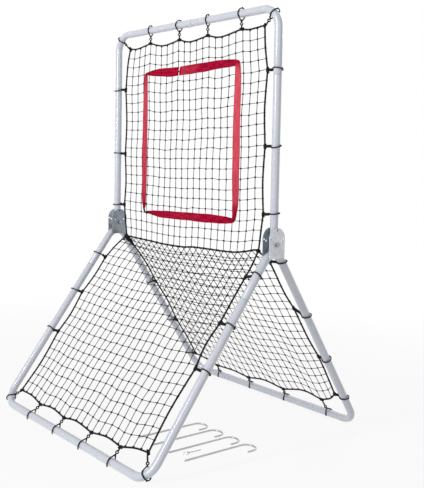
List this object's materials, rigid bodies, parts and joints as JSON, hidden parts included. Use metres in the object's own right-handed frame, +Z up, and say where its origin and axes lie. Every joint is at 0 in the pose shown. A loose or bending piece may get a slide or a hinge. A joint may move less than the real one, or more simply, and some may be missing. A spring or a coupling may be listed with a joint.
{
  "type": "baseball rebound net",
  "caption": "Freestanding rebound net: a tall upright net hinged over an A-frame of two sloping ground nets, on a tube frame with snap-button joints and a strike zone.",
  "frame": {"origin": "on the floor under the middle of the frame", "axes": "+X along the hinge axis to the right as the thrower sees it, -Y toward the thrower in front of the net, +Z up"},
  "size_m": [0.8942, 0.9206, 1.3755],
  "materials": {
    "frame_tube": "light grey-blue powder coat, satin",
    "hinge_bracket": "zinc plated",
    "hinge_hardware": "bright zinc plated",
    "snap_button": "bright spring steel",
    "net_cord": "black twisted and braided cord",
    "zone_ribbon": "red woven webbing",
    "stake_steel": "bright zinc plated wire",
    "pin_steel": "polished steel"
  },
  "bodies": {
    "lower_frame": {"hinge_elbow_left": "frame_tube", "front_corner_left": "frame_tube", "rear_corner_left": "frame_tube", "bracket_left_inner": "hinge_bracket", "bracket_left_outer": "hinge_bracket", "hinge_bolt_left": "hinge_hardware", "hinge_nut_left": "hinge_hardware", "hinge_elbow_right": "frame_tube", "front_corner_right": "frame_tube", "rear_corner_right": "frame_tube", "bracket_right_inner": "hinge_bracket", "bracket_right_outer": "hinge_bracket", "hinge_bolt_right": "hinge_hardware", "hinge_nut_right": "hinge_hardware", "front_bar": "frame_tube", "front_net": "net_cord", "front_net_rope": "net_cord", "rear_bar": "frame_tube", "rear_net": "net_cord", "rear_net_rope": "net_cord", "hinge_rope": "net_cord"},
    "upper_frame": {"post_left": "frame_tube", "top_corner_left": "frame_tube", "post_right": "frame_tube", "top_corner_right": "frame_tube", "upper_net": "net_cord", "upper_net_rope": "net_cord", "zone_ribbon_top": "zone_ribbon", "zone_ribbon_bottom": "zone_ribbon", "zone_ribbon_left": "zone_ribbon", "zone_ribbon_right": "zone_ribbon"},
    "button_post_left": {"snap_button_post_left": "snap_button"},
    "button_post_right": {"snap_button_post_right": "snap_button"},
    "button_top": {"snap_button_top": "snap_button"},
    "button_front_leg_left": {"snap_button_front_leg_left": "snap_button"},
    "button_front_bar_left": {"snap_button_front_bar_left": "snap_button"},
    "button_front_leg_right": {"snap_button_front_leg_right": "snap_button"},
    "button_front_bar_right": {"snap_button_front_bar_right": "snap_button"},
    "button_rear_leg_left": {"snap_button_rear_leg_left": "snap_button"},
    "button_rear_bar_left": {"snap_button_rear_bar_left": "snap_button"},
    "button_rear_leg_right": {"snap_button_rear_leg_right": "snap_button"},
    "button_rear_bar_right": {"snap_button_rear_bar_right": "snap_button"},
    "stake_1": {"ground_stake_1": "stake_steel"},
    "stake_2": {"ground_stake_2": "stake_steel"},
    "stake_3": {"ground_stake_3": "stake_steel"},
    "stake_4": {"ground_stake_4": "stake_steel"},
    "pin": {"lock_pin": "pin_steel"},
    "pin_ball": {"lock_pin_ball": "pin_steel"},
    "pin_ring": {"lock_pin_ring": "pin_steel"}
  },
  "joints": [
    {"name": "panel_tilt", "type": "hinge", "parent": "lower_frame", "child": "upper_frame", "pos_m": [0, 0, 0.645], "axis": [1, 0, 0], "range_deg": [-111.8, 108.2]},
    {"name": "press_post_left", "type": "slide", "parent": "upper_frame", "child": "button_post_left", "axis": [-1, 0, 0], "range_m": [0, 0.003], "stiffness_N_per_m": 1500, "springref_m": -0.002},
    {"name": "press_post_right", "type": "slide", "parent": "upper_frame", "child": "button_post_right", "axis": [1, 0, 0], "range_m": [0, 0.003], "stiffness_N_per_m": 1500, "springref_m": -0.002},
    {"name": "press_top", "type": "slide", "parent": "upper_frame", "child": "button_top", "axis": [0, -0.0314, 0.9995], "range_m": [0, 0.003], "stiffness_N_per_m": 1500, "springref_m": -0.002},
    {"name": "press_front_leg_left", "type": "slide", "parent": "lower_frame", "child": "button_front_leg_left", "axis": [-1, 0, 0], "range_m": [0, 0.003], "stiffness_N_per_m": 1500, "springref_m": -0.002},
    {"name": "press_front_bar_left", "type": "slide", "parent": "lower_frame", "child": "button_front_bar_left", "axis": [0, -1, 0], "range_m": [0, 0.003], "stiffness_N_per_m": 1500, "springref_m": -0.002},
    {"name": "press_front_leg_right", "type": "slide", "parent": "lower_frame", "child": "button_front_leg_right", "axis": [1, 0, 0], "range_m": [0, 0.003], "stiffness_N_per_m": 1500, "springref_m": -0.002},
    {"name": "press_front_bar_right", "type": "slide", "parent": "lower_frame", "child": "button_front_bar_right", "axis": [0, -1, 0], "range_m": [0, 0.003], "stiffness_N_per_m": 1500, "springref_m": -0.002},
    {"name": "press_rear_leg_left", "type": "slide", "parent": "lower_frame", "child": "button_rear_leg_left", "axis": [-1, 0, 0], "range_m": [0, 0.003], "stiffness_N_per_m": 1500, "springref_m": -0.002},
    {"name": "press_rear_bar_left", "type": "slide", "parent": "lower_frame", "child": "button_rear_bar_left", "axis": [0, 1, 0], "range_m": [0, 0.003], "stiffness_N_per_m": 1500, "springref_m": -0.002},
    {"name": "press_rear_leg_right", "type": "slide", "parent": "lower_frame", "child": "button_rear_leg_right", "axis": [1, 0, 0], "range_m": [0, 0.003], "stiffness_N_per_m": 1500, "springref_m": -0.002},
    {"name": "press_rear_bar_right", "type": "slide", "parent": "lower_frame", "child": "button_rear_bar_right", "axis": [0, 1, 0], "range_m": [0, 0.003], "stiffness_N_per_m": 1500, "springref_m": -0.002},
    {"name": "lift_stake_1", "type": "slide", "parent": "lower_frame", "child": "stake_1", "axis": [0, 0, 1], "range_m": [0, 0.24]},
    {"name": "lift_stake_2", "type": "slide", "parent": "lower_frame", "child": "stake_2", "axis": [0, 0, 1], "range_m": [0, 0.24]},
    {"name": "lift_stake_3", "type": "slide", "parent": "lower_frame", "child": "stake_3", "axis": [0, 0, 1], "range_m": [0, 0.24]},
    {"name": "lift_stake_4", "type": "slide", "parent": "lower_frame", "child": "stake_4", "axis": [0, 0, 1], "range_m": [0, 0.24]},
    {"name": "lift_pin", "type": "slide", "parent": "lower_frame", "child": "pin", "axis": [0, 0, 1], "range_m": [0, 0.24]},
    {"name": "press_ball", "type": "slide", "parent": "pin", "child": "pin_ball", "axis": [1, 0, 0], "range_m": [0, 0.0006], "stiffness_N_per_m": 800, "springref_m": -0.001},
    {"name": "ring_swing", "type": "hinge", "parent": "pin", "child": "pin_ring", "pos_m": [0.3, -0.197, 0.00384], "axis": [1, 0, 0], "range_deg": [-165, 0]}
  ]
}
